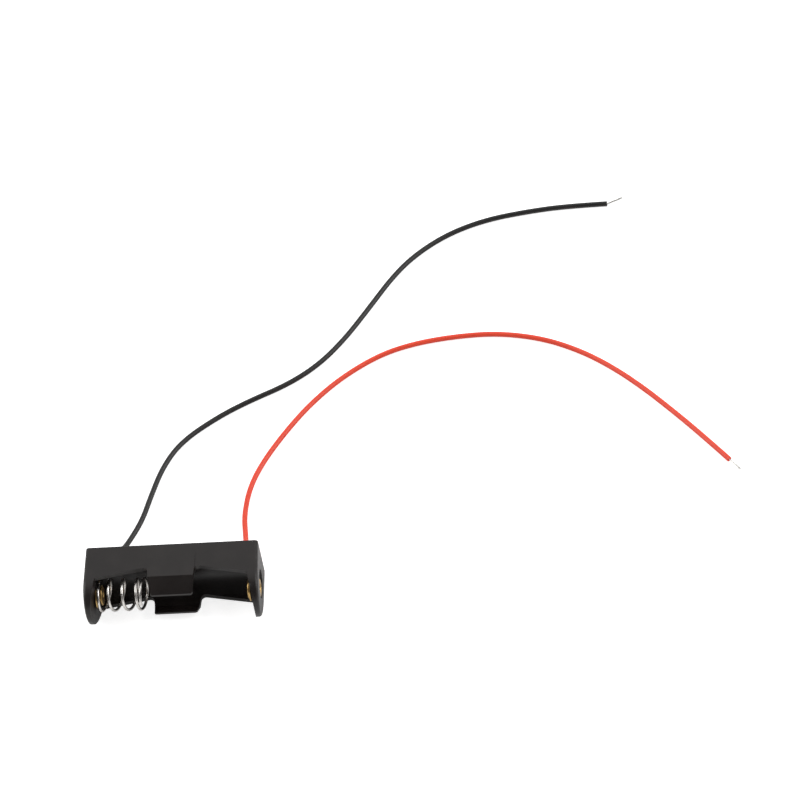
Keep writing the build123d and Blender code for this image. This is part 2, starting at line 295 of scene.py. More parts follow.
class RoomSheet(NodeSheet):
    """The node tree of the surroundings."""

    def __init__(self, name: str) -> None:
        """Makes a world and uses it.

        Args:
            name: Its name.
        """
        world = bpy.data.worlds.new(name)
        world.use_nodes = True
        super().__init__(world.node_tree, "ShaderNodeOutputWorld")
        bpy.context.scene.world = world

    def direction(self) -> dict[str, Signal]:
        """The direction in which the surroundings are seen.

        Returns:
            The direction's X, Y and Z, under those names.
        """
        seen = Signal(self, self.node("ShaderNodeTexCoord").outputs["Generated"])
        split = self.node("ShaderNodeSeparateXYZ", {}, {0: seen})
        return {output.name: Signal(self, output) for output in split.outputs}

    def fill(self, strength: Signal) -> None:
        """Shows a white background of a strength."""
        inputs = {"Color": (1, 1, 1, 1), "Strength": strength}
        self.show(self.node("ShaderNodeBackground", {}, inputs))


@dataclass(frozen=True)
class Pattern:
    """A noise pattern, whose value is from 0 to 1.

    Attributes:
        size: About how large its patches are.
        detail: How many finer layers it has.
        rough: How strong the finer layers are.
        stretch: Factors on the place along each axis, where it is drawn out along one.
    """

    size: float
    detail: float = 3.0
    rough: float = 0.5
    stretch: Point | None = None

    def on(self, sheet: MaterialSheet) -> Signal:
        """Adds the pattern to a material.

        Args:
            sheet: The material's nodes.

        Returns:
            The pattern's value.
        """
        place = sheet.stretched(self.stretch) if self.stretch else sheet.place()
        inputs = {
            "Vector": place,
            "Scale": 1 / self.size,
            "Detail": self.detail,
            "Roughness": self.rough,
        }
        return Signal(sheet, sheet.node("ShaderNodeTexNoise", {}, inputs).outputs["Fac"])


@dataclass(frozen=True)
class Relief:
    """How deep a small relief is.

    Attributes:
        depth: What a height of 1 stands for.
        strength: How much of the relief shows.
    """

    depth: float
    strength: float

    def over(self, height: Signal) -> Signal:
        """The normal of a height from 0 to 1."""
        inputs = {"Height": height, "Distance": self.depth, "Strength": self.strength}
        return Signal(height.sheet, height.sheet.node("ShaderNodeBump", {}, inputs).outputs[0])


# Finishes

# In these, a range is the two values of a pattern between which it is taken from 0 to 1, a share
# is how far it takes the colour to the second one, a matting is what it adds to the roughness,
# and a height is its part in the relief.


@dataclass(frozen=True)
class MouldedPlastic:
    """Black moulded plastic with a fine satin skin, flow marks and a little handling wear."""

    base: Colour = (0.0098, 0.0070, 0.0063, 1.0)
    dusty: Colour = (0.0190, 0.0148, 0.0136, 1.0)
    roughness: float = 0.38
    refraction: float = 1.5
    clouds: Pattern = Pattern(6.0 * MM, detail=4.0, rough=0.55)
    cloud_range: Range = (0.35, 0.75)
    cloud_share: float = 0.6
    cloud_matting: float = 0.2
    flow_marks: Pattern = Pattern(1.6 * MM, rough=0.6, stretch=(0.25, 1.0, 1.0))
    flow_matting: float = 0.18
    flow_height: float = 0.4
    grain: Pattern = Pattern(0.22 * MM, detail=2.0)
    grain_height: float = 0.6
    specks: Pattern = Pattern(0.7 * MM, detail=1.0, rough=0.4)
    speck_range: Range = (0.70, 0.78)
    speck_share: float = 0.35
    speck_matting: float = 0.1
    relief: Relief = Relief(0.018 * MM, 0.7)

    def paint(self, name: str) -> bpy.types.Material:
        """Makes the material.

        Args:
            name: Its name.

        Returns:
            The material.
        """
        sheet = MaterialSheet(name)
        clouds = self.clouds.on(sheet)
        flow = self.flow_marks.on(sheet)
        specks = self.specks.on(sheet).ramp(*self.speck_range)
        worn = clouds.ramp(*self.cloud_range) * self.cloud_share + specks * self.speck_share
        matt = self.roughness + clouds.swing(self.cloud_matting) + flow.swing(self.flow_matting)
        height = self.grain.on(sheet) * self.grain_height + flow * self.flow_height
        return sheet.finish(
            Base_Color=sheet.mix(worn, self.base, self.dusty),
            Roughness=matt + specks * self.speck_matting,
            Normal=self.relief.over(height),
            IOR=self.refraction,
        )


@dataclass(frozen=True)
class RolledBrass:
    """Bright rolled brass, tarnished in patches towards brown."""

    bright: Colour = (0.62, 0.42, 0.17, 1.0)
    tarnished: Colour = (0.30, 0.18, 0.065, 1.0)
    roughness: float = 0.3
    stain: Pattern = Pattern(1.1 * MM, detail=4.0, rough=0.6)
    stain_range: Range = (0.42, 0.72)
    stain_share: float = 0.7
    stain_matting: float = 0.14
    rolling_lines: Pattern = Pattern(0.3 * MM, detail=2.0, rough=0.6, stretch=(1.0, 1.0, 0.12))
    line_matting: float = 0.12
    relief: Relief = Relief(0.006 * MM, 0.6)

    def paint(self, name: str) -> bpy.types.Material:
        """Makes the material.

        Args:
            name: Its name.

        Returns:
            The material.
        """
        sheet = MaterialSheet(name)
        stain = self.stain.on(sheet).ramp(*self.stain_range)
        lines = self.rolling_lines.on(sheet)
        matt = self.roughness + stain * self.stain_matting
        return sheet.finish(
            Base_Color=sheet.mix(stain * self.stain_share, self.bright, self.tarnished),
            Metallic=1.0,
            Roughness=matt + lines.swing(self.line_matting),
            Normal=self.relief.over(lines),
        )


@dataclass(frozen=True)
class DrawnWire:
    """Bright nickel-plated spring wire with faint drawing marks."""

    bright: Colour = (0.82, 0.79, 0.76, 1.0)
    dull: Colour = (0.50, 0.47, 0.43, 1.0)
    roughness: float = 0.26
    stain: Pattern = Pattern(1.6 * MM, detail=1.0, rough=0.4)
    stain_range: Range = (0.42, 0.72)
    stain_share: float = 0.4
    stain_matting: float = 0.06
    drawing_marks: Pattern = Pattern(0.16 * MM, detail=1.0, rough=0.4)
    mark_matting: float = 0.06
    relief: Relief = Relief(0.0015 * MM, 0.5)

    def paint(self, name: str) -> bpy.types.Material:
        """Makes the material.

        Args:
            name: Its name.

        Returns:
            The material.
        """
        sheet = MaterialSheet(name)
        stain = self.stain.on(sheet).ramp(*self.stain_range)
        marks = self.drawing_marks.on(sheet)
        matt = self.roughness + stain * self.stain_matting
        return sheet.finish(
            Base_Color=sheet.mix(stain * self.stain_share, self.bright, self.dull),
            Metallic=1.0,
            Roughness=matt + marks.swing(self.mark_matting),
            Normal=self.relief.over(marks),
        )


@dataclass(frozen=True)
class Insulation:
    """Extruded vinyl insulation: one colour, faintly uneven, with a soft shine."""

    base: Colour
    shaded: Colour
    roughness: float = 0.38
    refraction: float = 1.5
    clouds: Pattern = Pattern(9.0 * MM)
    cloud_range: Range = (0.35, 0.7)
    cloud_share: float = 0.55
    cloud_matting: float = 0.1
    smudges: Pattern = Pattern(2.5 * MM, rough=0.6)
    smudge_range: Range = (0.5, 0.8)
    smudge_share: float = 0.25
    smudge_matting: float = 0.1
    orange_peel: Pattern = Pattern(0.35 * MM, detail=2.0)
    relief: Relief = Relief(0.012 * MM, 0.6)

    def paint(self, name: str) -> bpy.types.Material:
        """Makes the material.

        Args:
            name: Its name.

        Returns:
            The material.
        """
        sheet = MaterialSheet(name)
        clouds = self.clouds.on(sheet)
        smudges = self.smudges.on(sheet).ramp(*self.smudge_range)
        uneven = clouds.ramp(*self.cloud_range) * self.cloud_share + smudges * self.smudge_share
        matt = self.roughness + clouds.swing(self.cloud_matting) + smudges * self.smudge_matting
        return sheet.finish(
            Base_Color=sheet.mix(uneven, self.base, self.shaded),
            Roughness=matt,
            Normal=self.relief.over(self.orange_peel.on(sheet)),
            IOR=self.refraction,
        )


@dataclass(frozen=True)
class TinnedStrand:
    """Tinned copper strand: silvery, with the copper's warmth where the tin is thin."""

    tin: Colour = (0.86, 0.85, 0.82, 1.0)
    copper: Colour = (0.55, 0.34, 0.22, 1.0)
    roughness: float = 0.3
    thin_tin: Pattern = Pattern(0.6 * MM, rough=0.6)
    thin_range: Range = (0.55, 0.8)
    thin_share: float = 0.25
    fine_marks: Pattern = Pattern(0.12 * MM, detail=2.0)
    mark_matting: float = 0.16
    relief: Relief = Relief(0.004 * MM, 0.5)

    def paint(self, name: str) -> bpy.types.Material:
        """Makes the material.

        Args:
            name: Its name.

        Returns:
            The material.
        """
        sheet = MaterialSheet(name)
        thin = self.thin_tin.on(sheet).ramp(*self.thin_range)
        marks = self.fine_marks.on(sheet)
        return sheet.finish(
            Base_Color=sheet.mix(thin * self.thin_share, self.tin, self.copper),
            Metallic=1.0,
            Roughness=self.roughness + marks.swing(self.mark_matting),
            Normal=self.relief.over(marks),
        )


@dataclass(frozen=True)
class SolderMetal:
    """Set solder: grey, half bright, with a slightly frosted skin."""

    base: Colour = (0.56, 0.56, 0.57, 1.0)
    frosted: Colour = (0.38, 0.38, 0.40, 1.0)
    roughness: float = 0.25
    frost: Pattern = Pattern(0.5 * MM, detail=4.0, rough=0.6)
    frost_range: Range = (0.4, 0.7)
    frost_matting: float = 0.25
    relief: Relief = Relief(0.01 * MM, 0.6)

    def paint(self, name: str) -> bpy.types.Material:
        """Makes the material.

        Args:
            name: Its name.

        Returns:
            The material.
        """
        sheet = MaterialSheet(name)
        frost = self.frost.on(sheet).ramp(*self.frost_range)
        return sheet.finish(
            Base_Color=sheet.mix(frost, self.base, self.frosted),
            Metallic=1.0,
            Roughness=self.roughness + frost * self.frost_matting,
            Normal=self.relief.over(frost),
        )


# Modelling helpers


def deselect_all() -> None:
    """Leaves no object selected and none active."""
    for thing in bpy.context.view_layer.objects:
        thing.select_set(False)
    bpy.context.view_layer.objects.active = None


def make_active(piece: bpy.types.Object) -> None:
    """Selects one object alone and makes it active.

    Args:
        piece: The object.
    """
    deselect_all()
    piece.select_set(True)
    bpy.context.view_layer.objects.active = piece


def smooth(piece: bpy.types.Object, angle: float) -> None:
    """Shades a mesh smooth, apart from edges sharper than an angle in degrees."""
    make_active(piece)
    bpy.ops.object.shade_smooth_by_angle(angle=radians(angle))


def dress(piece: bpy.types.Object, material: bpy.types.Material, body: str) -> None:
    """Gives a finished piece its material and the body that it rides on.

    Args:
        piece: The piece.
        material: Its material.
        body: The body's name.
    """
    piece.data.materials.clear()
    piece.data.materials.append(material)
    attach(piece, body)
    log.info("%s rides on %s", piece.name, body)


def dress_node(node: str, material: bpy.types.Material) -> None:
    """Gives a CAD node that stays its better material.

    Args:
        node: The node's name.
        material: The material.
    """
    holder = frame["nodes"][node].material_slots[0]
    holder.link = "OBJECT"
    holder.material = material
    log.info("%s keeps its solid", node)


def curve_through(
    name: str, points: list[Point], radius: float, order: SplineOrder, sides: int
) -> bpy.types.Object:
    """A round curve of one open NURBS spline.

    Args:
        name: The piece's name.
        points: The spline's control points.
        radius: The curve's radius.
        order: How the curve follows its points.
        sides: How round the section is, as its bevel resolution.

    Returns:
        The curve's object, at the origin.
    """
    deselect_all()
    bpy.ops.curve.primitive_nurbs_path_add(location=(0, 0, 0))
    piece = bpy.context.object
    piece.name = name
    piece.data.name = name
    piece.data.splines.clear()
    spline = piece.data.splines.new("NURBS")
    spline.points.add(len(points) - 1)
    for control, place in zip(spline.points, points):
        control.co = (*place, 1.0)
    spline.order_u = order.value
    spline.use_endpoint_u = True
    spline.resolution_u = 10
    spline.use_smooth = True
    piece.data.dimensions = "3D"
    piece.data.bevel_depth = radius
    piece.data.bevel_resolution = sides
    piece.data.use_fill_caps = True
    return piece


def to_mesh(piece: bpy.types.Object) -> bpy.types.Object:
    """Turns a curve into a mesh and joins its doubled points.

    Args:
        piece: The curve's object.

    Returns:
        The mesh's object.
    """
    make_active(piece)
    bpy.ops.object.convert(target="MESH")
    piece = bpy.context.object
    bpy.ops.object.mode_set(mode="EDIT")
    bpy.ops.mesh.select_all(action="SELECT")
    bpy.ops.mesh.remove_doubles(threshold=JOIN_DISTANCE)
    bpy.ops.mesh.normals_make_consistent(inside=False)
    bpy.ops.object.mode_set(mode="OBJECT")
    return piece


def turned_ring(
    name: str, stations: list[tuple[float, float]], side: Side, count: int
) -> bpy.types.Object:
    """A closed ring turned about the contacts' axis, grown circle by circle from its first.

    Args:
        name: The piece's name.
        stations: Distance from the middle and radius of each circle of the closed section.
        side: The end that the ring stands at.
        count: How many points each circle has.

    Returns:
        The ring's object, at the origin.
    """
    centre = Vector((side.value * stations[0][0], LAYOUT.contact_y, LAYOUT.mid_z))
    deselect_all()
    bpy.ops.mesh.primitive_circle_add(
        vertices=count, radius=stations[0][1], location=centre, rotation=(0, pi / 2, 0)
    )
    piece = bpy.context.object
    piece.name = name
    piece.data.name = name
    bpy.ops.object.transform_apply(location=True, rotation=True, scale=True)
    bpy.ops.object.mode_set(mode="EDIT")
    bpy.ops.mesh.select_mode(type="EDGE")
    bpy.ops.mesh.select_all(action="SELECT")
    for (before, radius), (after, new_radius) in zip(stations, stations[1:]):
        shift = side.value * (after - before)
        bpy.ops.mesh.extrude_region_move(TRANSFORM_OT_translate={"value": (shift, 0, 0)})
        centre.x += shift
        share = new_radius / radius
        bpy.ops.transform.resize(value=(1, share, share), center_override=centre)
    bpy.ops.mesh.select_all(action="DESELECT")
    bpy.ops.object.mode_set(mode="OBJECT")
    select_end_circles(piece, count)
    bpy.ops.object.mode_set(mode="EDIT")
    bpy.ops.mesh.bridge_edge_loops()
    bpy.ops.mesh.select_all(action="SELECT")
    bpy.ops.mesh.normals_make_consistent(inside=False)
    bpy.ops.object.mode_set(mode="OBJECT")
    return piece


def select_end_circles(piece: bpy.types.Object, count: int) -> None:
    """Selects the edges of a grown ring's first and last circle.

    Args:
        piece: The ring, in object mode.
        count: How many points each circle has.
    """
    total = len(piece.data.vertices)
    ends = set(range(count)) | set(range(total - count, total))
    for edge in piece.data.edges:
        first, last = edge.vertices
        same_circle = (first < count) == (last < count)
        edge.select = first in ends and last in ends and same_circle


# Sub-assemblies


@dataclass
class Housing:
    """The moulded housing, with the small radius that every moulded edge has.

    The outer skin of each end wall is drawn in, most at its front corner near the surface.

    Attributes:
        edge_radius: Width of the rounding.
        edge_angle: Least angle of an edge that is rounded, in degrees.
        smooth_angle: Most angle of an edge that is shaded smooth, in degrees.
        join_distance: How near two points of the solid's mesh are joined.
        flat_angle: Most angle between faces that are joined as flat, in degrees.
        skin_from: Inner side of the end walls' outer skins, from the middle.
        skin_to: Outer side of them, from the middle.
        spring_end_thinning: How far the corner moves in at the spring's end.
        fixed_end_thinning: How far it moves in at the other end.
        finish: The plastic.
    """

    edge_radius: float = 0.11 * MM
    edge_angle: float = 28.0
    smooth_angle: float = 35.0
    join_distance: float = 0.0002 * MM
    flat_angle: float = 0.4
    skin_from: float = 18.3 * MM
    skin_to: float = 19.68 * MM
    spring_end_thinning: float = 0.6 * MM
    fixed_end_thinning: float = 0.38 * MM
    finish: MouldedPlastic = field(default_factory=MouldedPlastic)

    def copy_solid(self) -> bpy.types.Object:
        """Copies the solid, merges the copy's points and joins its flat faces.

        Returns:
            The copy.
        """
        solid = frame["nodes"]["housing"]
        piece = bpy.data.objects.new("housing_shell", solid.data.copy())
        bpy.context.scene.collection.objects.link(piece)
        make_active(piece)
        bpy.ops.object.mode_set(mode="EDIT")
        bpy.ops.mesh.select_all(action="SELECT")
        bpy.ops.mesh.remove_doubles(threshold=self.join_distance)
        bpy.ops.mesh.dissolve_limited(angle_limit=radians(self.flat_angle))
        bpy.ops.object.mode_set(mode="OBJECT")
        return piece

    def cage(self, side: Side) -> bpy.types.Object:
        """Adds a lattice of eight points round one end wall's outer skin.

        Args:
            side: The end.

        Returns:
            The lattice's object.
        """
        depth = self.skin_to - self.skin_from
        middle = side.value * (self.skin_from + depth / 2)
        deselect_all()
        bpy.ops.object.add(type="LATTICE", location=(middle, 0, LAYOUT.mid_z))
        cage = bpy.context.object
        cage.scale = (depth, 2 * LAYOUT.back, 2 * LAYOUT.mid_z)
        cage.data.points_u = cage.data.points_v = cage.data.points_w = 2
        cage.data.interpolation_type_u = "KEY_LINEAR"
        cage.data.interpolation_type_v = "KEY_LINEAR"
        cage.data.interpolation_type_w = "KEY_LINEAR"
        return cage

    def thin_end(self, piece: bpy.types.Object, side: Side, thinning: float) -> None:
        """Draws one end wall's outer skin in, most at its front lower corner.

        Args:
            piece: The housing.
            side: The end.
            thinning: How far the corner of the cage moves in.
        """
        skin = [v.index for v in piece.data.vertices if v.co.x * side.value > self.skin_from]
        piece.vertex_groups.new(name="skin").add(skin, 1.0, "REPLACE")
        cage = self.cage(side)
        # The cage's points run along X first, so 0 and 1 are its front lower corners
        corner = 1 if side is Side.FIXED else 0
        moved = side.value * thinning / (self.skin_to - self.skin_from)
        cage.data.points[corner].co_deform.x -= moved
        make_active(piece)
        shaping = piece.modifiers.new("thinning", "LATTICE")
        shaping.object = cage
        shaping.vertex_group = "skin"
        bpy.ops.object.modifier_apply(modifier=shaping.name)
        piece.vertex_groups.remove(piece.vertex_groups["skin"])
        bpy.data.objects.remove(cage)

    def round_edges(self, piece: bpy.types.Object) -> None:
        """Rounds the moulded edges and keeps the flat faces shaded flat.

        Args:
            piece: The housing.
        """
        make_active(piece)
        rounding = piece.modifiers.new("edges", "BEVEL")
        rounding.width = self.edge_radius
        rounding.segments = 2
        rounding.limit_method = "ANGLE"
        rounding.angle_limit = radians(self.edge_angle)
        rounding.use_clamp_overlap = True
        bpy.ops.object.modifier_apply(modifier=rounding.name)
        smooth(piece, self.smooth_angle)
        weighting = piece.modifiers.new("flat_faces", "WEIGHTED_NORMAL")
        weighting.mode = "FACE_AREA_WITH_ANGLE"
        weighting.weight = 100
        weighting.keep_sharp = True
        bpy.ops.object.modifier_apply(modifier=weighting.name)

    def assemble(self) -> None:
        """Builds and dresses the housing."""
        piece = self.copy_solid()
        self.thin_end(piece, Side.SPRING, self.spring_end_thinning)
        self.thin_end(piece, Side.FIXED, self.fixed_end_thinning)
        self.round_edges(piece)
        dress(piece, self.finish.paint("black_moulding"), "holder")
        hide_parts("housing")


@dataclass
class CoilSpring:
    """The negative contact: a coil whose base turn winds inwards under the rivet's head.

    Attributes:
        wire: Diameter of the wire.
        outer_diameter: Outer diameter of the coil.
        hook_radius: Radius of the wire's middle where it starts, under the head.
        seat_clearance: Gap between the hook and the end wall, and between it and the rivet's head.
        start_angle: Angle at which the wire starts, in degrees.
        hook_turns: Turns over which the radius grows to the coil's.
        base_turns: Turns that lie flat on the wall.
        ramp_turns: Turns over which the pitch changes.
        active_turns: Open turns at the full pitch.
        tip_turns: Close turns at the free end.
        active_pitch: Pitch of the open turns.
        tip_pitch: Pitch of the close turns.
        back_lean: How far the turns' back side leans towards the free end, in degrees.
        lower_lean: How far their lower side leans towards it, in degrees.
        lean_start: Turn at which the lean starts.
        lean_turns: Turns over which it grows.
        steps_per_turn: Points on one turn.
        section_sides: How round the wire is, as its bevel resolution.
        smooth_angle: Most angle of an edge that is shaded smooth, in degrees.
        loaded_length: Length with the cell in place.
        finish: The wire's finish.
    """

    wire: float = 0.65 * MM
    outer_diameter: float = 7.5 * MM
    hook_radius: float = 1.675 * MM
    seat_clearance: float = 0.03 * MM
    start_angle: float = -80.0
    hook_turns: float = 0.7
    base_turns: float = 0.46
    ramp_turns: float = 0.4
    active_turns: float = 2.66
    tip_turns: float = 0.78
    active_pitch: float = 3.1 * MM
    tip_pitch: float = 0.6 * MM
    back_lean: float = 9.4
    lower_lean: float = 3.1
    lean_start: float = 0.53
    lean_turns: float = 0.6
    steps_per_turn: int = 48
    section_sides: int = 5
    smooth_angle: float = 40.0
    loaded_length: float = 5.05 * MM
    finish: DrawnWire = field(default_factory=DrawnWire)

    @property
    def rivet_seat(self) -> float:
        """Where the rivet's head stands over the hook, from the middle."""
        return LAYOUT.bay_half - self.wire - 2 * self.seat_clearance

    @property
    def turns(self) -> float:
        """All the turns, from the hook to the free tip."""
        return self.base_turns + 2 * self.ramp_turns + self.active_turns + self.tip_turns

    def pitch(self, turn: float) -> float:
        """Pitch at a turn: flat, open, and close at the tip.

        Args:
            turn: The turn, from the hook.

        Returns:
            The pitch.
        """
        opened = (turn - self.base_turns) / self.ramp_turns
        closed = (self.turns - self.tip_turns - turn) / self.ramp_turns
        end_pitch = 0.0 if turn < self.base_turns + self.ramp_turns else self.tip_pitch
        return end_pitch + (self.active_pitch - end_pitch) * max(0.0, min(1.0, opened, closed))

    def lean(self, turn: float, across: float, up: float) -> float:
        """How far the lean moves a place on the coil along the cell.

        Args:
            turn: The turn, from the hook.
            across: How far back from the axis the place is.
            up: How far above the axis it is.

        Returns:
            The shift along X.
        """
        grown = max(0.0, min(1.0, (turn - self.lean_start) / self.lean_turns))
        tilted = tan(radians(self.back_lean)) * across - tan(radians(self.lower_lean)) * up
        return grown * grown * (3 - 2 * grown) * tilted

    def centre_line(self) -> list[Point]:
        """Works out the wire's middle, turn by turn.

        Returns:
            Points along it, from the hook.
        """
        coil_radius = (self.outer_diameter - self.wire) / 2
        steps = ceil(self.turns * self.steps_per_turn)
        step = self.turns / steps
        x = -LAYOUT.bay_half + self.wire / 2 + self.seat_clearance
        points = []
        for index in range(steps + 1):
            turn = index * step
            angle = radians(self.start_angle) + 2 * pi * turn
            unwound = (1 - cos(pi * min(1.0, turn / self.hook_turns))) / 2
            radius = self.hook_radius + (coil_radius - self.hook_radius) * unwound
            across = radius * cos(angle)
            up = radius * sin(angle)
            shifted = x + self.lean(turn, across, up)
            points.append((shifted, LAYOUT.contact_y + across, LAYOUT.mid_z + up))
            x += self.pitch(turn + step / 2) * step
        return points

    def assemble(self) -> None:
        """Builds the spring, and works out what share of its length it keeps when the cell closes
        it up towards the end wall.
        """
        points = self.centre_line()
        radius = self.wire / 2
        curve = curve_through(
            "coil_spring", points, radius, SplineOrder.STRAIGHT_RUNS, self.section_sides
        )
        piece = to_mesh(curve)
        smooth(piece, self.smooth_angle)
        dress(piece, self.finish.paint("nickel_wire"), "holder")
        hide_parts("spring")
        free_length = max(point[0] for point in points) + radius + LAYOUT.bay_half
        keep = self.loaded_length / free_length
        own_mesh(piece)


# A rivet's section, from its bore's clinched end round to its head. Each pair is a share of the
# clinch's or the head's thickness, from the web or the head's face, and a share of a radius.
CLINCH_BORE: Profile = ((-0.2, 1.0), (0.45, 1.06), (0.82, 1.22), (1.0, 1.5))
CLINCH_RIM: Profile = ((1.0, 0.78), (0.88, 0.91), (0.6, 0.985), (0.28, 1.0), (0.04, 0.975))
BARREL_CLINCH: Profile = ((0.02, 1.0),)
BARREL_HEAD: Profile = ((0.98, 1.0),)
HEAD_RIM: Profile = (
    (0.98, 0.97), (0.8, 1.0), (0.5, 0.995), (0.2, 0.955), (0.04, 0.88), (0.0, 0.72)
)
HEAD_BORE: Profile = ((0.03, 1.42), (0.16, 1.18), (0.36, 1.05))
HEAD_BORE_END: Profile = ((0.62, 1.0),)


@dataclass
class TubularRivet:
    """A tubular rivet: a domed head inside the bay and a rolled clinch outside the web.

    Attributes:
        side: The end of the holder.
        seat: Where the head's underside stands, from the middle.
        name: The node that the rivet stands for.
        head_radius: Radius of the head.
        head_thickness: Thickness of the head.
        barrel_radius: Outer radius of the barrel.
        bore: Radius of the bore.
        flange_radius: Radius of the rolled clinch.
        flange_thickness: Thickness of the clinch.
        circle_points: Points on each circle.
        smooth_angle: Most angle of an edge that is shaded smooth, in degrees.
    """

    side: Side
    seat: float
    name: str
    head_radius: float = 2.25 * MM
    head_thickness: float = 0.45 * MM
    barrel_radius: float = 1.3 * MM
    bore: float = 0.8 * MM
    flange_radius: float = 2.15 * MM
    flange_thickness: float = 0.45 * MM
    circle_points: int = 72
    smooth_angle: float = 50.0

    def clinch(self, radius: float, profile: Profile) -> list[tuple[float, float]]:
        """Circles of the clinch.

        Args:
            radius: The radius that the profile's shares are of.
            profile: The circles, as shares.

        Returns:
            Distance from the middle and radius of each.
        """
        thick = self.flange_thickness
        return [(LAYOUT.web_face + out * thick, radius * wide) for out, wide in profile]

    def head(self, radius: float, profile: Profile) -> list[tuple[float, float]]:
        """Circles of the head.

        Args:
            radius: The radius that the profile's shares are of.
            profile: The circles, as shares.

        Returns:
            Distance from the middle and radius of each.
        """
        thick = self.head_thickness
        face = self.seat - thick
        return [(face + out * thick, radius * wide) for out, wide in profile]

    def stations(self) -> list[tuple[float, float]]:
        """The circles of the rivet's closed section, from its bore's inner lip and round."""
        return [
            *self.head(self.bore, HEAD_BORE_END),
            *self.clinch(self.bore, CLINCH_BORE),
            *self.clinch(self.flange_radius, CLINCH_RIM),
            *self.clinch(self.barrel_radius, BARREL_CLINCH),
            *self.head(self.barrel_radius, BARREL_HEAD),
            *self.head(self.head_radius, HEAD_RIM),
            *self.head(self.bore, HEAD_BORE),
        ]

    def assemble(self, material: bpy.types.Material) -> None:
        """Builds the rivet and dresses it.

        Args:
            material: The brass.
        """
        stations = self.stations()
        piece = turned_ring(f"{self.name}_turned", stations, self.side, self.circle_points)
        smooth(piece, self.smooth_angle)
        dress(piece, material, "holder")
        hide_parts(self.name)


@dataclass
class Lead:
    """One flying lead: its insulation, and the bundle of fine strands at its stripped end.

    Attributes:
        colour: The insulation's colour, as a word.
        route: Control points of its line, from inside the bay.
        bare_route: Where the stripped end starts, bends and stops.
        exit: Where it leaves the housing; not used.
        length: Its real length; not used.
        finish: The insulation's finish.
        splay: How far the strands spread towards their tips, in bundle radii.
        diameter: Outer diameter of the insulation.
        strand: Diameter of one strand.
        bundle: Radius at which the strands lie round the middle one.
        strands: How many strands there are.
        lay_turns: How far the strands are twisted over the stripped length.
        shorter: How much shorter than the route the strands are, in turn, as shares.
        splay_start: Share of the stripped length at which they begin to spread.
        uneven_splay: Factors on how far they spread, in turn.
        flattened: The most that they rise above the middle, in bundle radii.
        strand_shares: Where a strand's control points stand, as shares of its length.
        section_sides: How round the insulation is, as its bevel resolution.
        strand_sides: How round a strand is, likewise.
        smooth_angle: Most angle of a strand's edge that is shaded smooth, in degrees.
    """

    colour: str
    route: list[Point]
    bare_route: list[Point]
    exit: Point
    length: float
    finish: Insulation
    splay: float
    diameter: float = 1.2 * MM
    strand: float = 0.14 * MM
    bundle: float = 0.15 * MM
    strands: int = 7
    lay_turns: float = 0.35
    shorter: tuple[float, ...] = (0.0, 0.07, 0.14)
    splay_start: float = 0.35
    uneven_splay: tuple[float, ...] = (1.0, 1.4)
    flattened: float = 1.05
    strand_shares: tuple[float, ...] = (0.0, 0.25, 0.5, 0.75, 1.0)
    section_sides: int = 6
    strand_sides: int = 2
    smooth_angle: float = 60.0

    def strand_points(self, index: int) -> list[Point]:
        """Control points of one strand: it starts in the bundle and splays out at its tip.

        Args:
            index: Which strand, 0 for the middle one.

        Returns:
            The points, from the insulation's end to the tip.
        """
        start, corner, tip = (Vector(point) for point in self.bare_route)
        line = (tip - start).normalized()
        across = line.cross(Vector((0, 0, 1))).normalized()
        up = across.cross(line)
        turn = 2 * pi * index / (self.strands - 1)
        reach = self.bundle if index else 0.0
        length_share = 1.0 - self.shorter[index % len(self.shorter)]
        splay = self.splay * self.uneven_splay[index % len(self.uneven_splay)]
        points = []
        for share in self.strand_shares:
            along = 2 * share * length_share
            base = start.lerp(corner, along) if along < 1 else corner.lerp(tip, along - 1)
            angle = turn + 2 * pi * self.lay_turns * share
            spread = reach * (1.0 + splay * max(0.0, share - self.splay_start))
            rise = min(spread, self.bundle * self.flattened)
            points.append(tuple(base + across * (spread * cos(angle)) + up * (rise * sin(angle))))
        return points

    def build_strand(self, index: int) -> bpy.types.Object:
        """Builds one strand.

        Args:
            index: Which strand, 0 for the middle one.

        Returns:
            The strand's object.
        """
        name = f"{self.colour}_strand_{index}"
        points = self.strand_points(index)
        radius = self.strand / 2
        return to_mesh(
            curve_through(name, points, radius, SplineOrder.SMOOTH, self.strand_sides)
        )

    def build_bundle(self) -> bpy.types.Object:
        """Builds the strands at the stripped end and joins them.

        Returns:
            Their object.
        """
        strands = [self.build_strand(index) for index in range(self.strands)]
        deselect_all()
        for strand in strands:
            strand.select_set(True)
        bpy.context.view_layer.objects.active = strands[0]
        bpy.ops.object.join()
        bundle = bpy.context.object
        bundle.name = f"{self.colour}_strands"
        bundle.data.name = bundle.name
        smooth(bundle, self.smooth_angle)
        return bundle

    def assemble(self, strand_metal: bpy.types.Material) -> None:
        """Args:
            strand_metal: The strands' material.
        """
        name = f"{self.colour}_insulation"
        radius = self.diameter / 2
        cord = curve_through(name, self.route, radius, SplineOrder.SMOOTH, self.section_sides)
        dress(cord, self.finish.paint(f"{self.colour}_vinyl"), "holder")
        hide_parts(f"{self.colour}_lead")
        bundle = self.build_bundle()
        dress(bundle, strand_metal, "holder")
        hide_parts(f"{self.colour}_bare_end")


def route(*points: Point) -> list[Point]:
    """A lead's route, from millimetres with Y measured from the back face, to metres."""
    return [(x * MM, LAYOUT.back + y * MM, z * MM) for x, y, z in points]


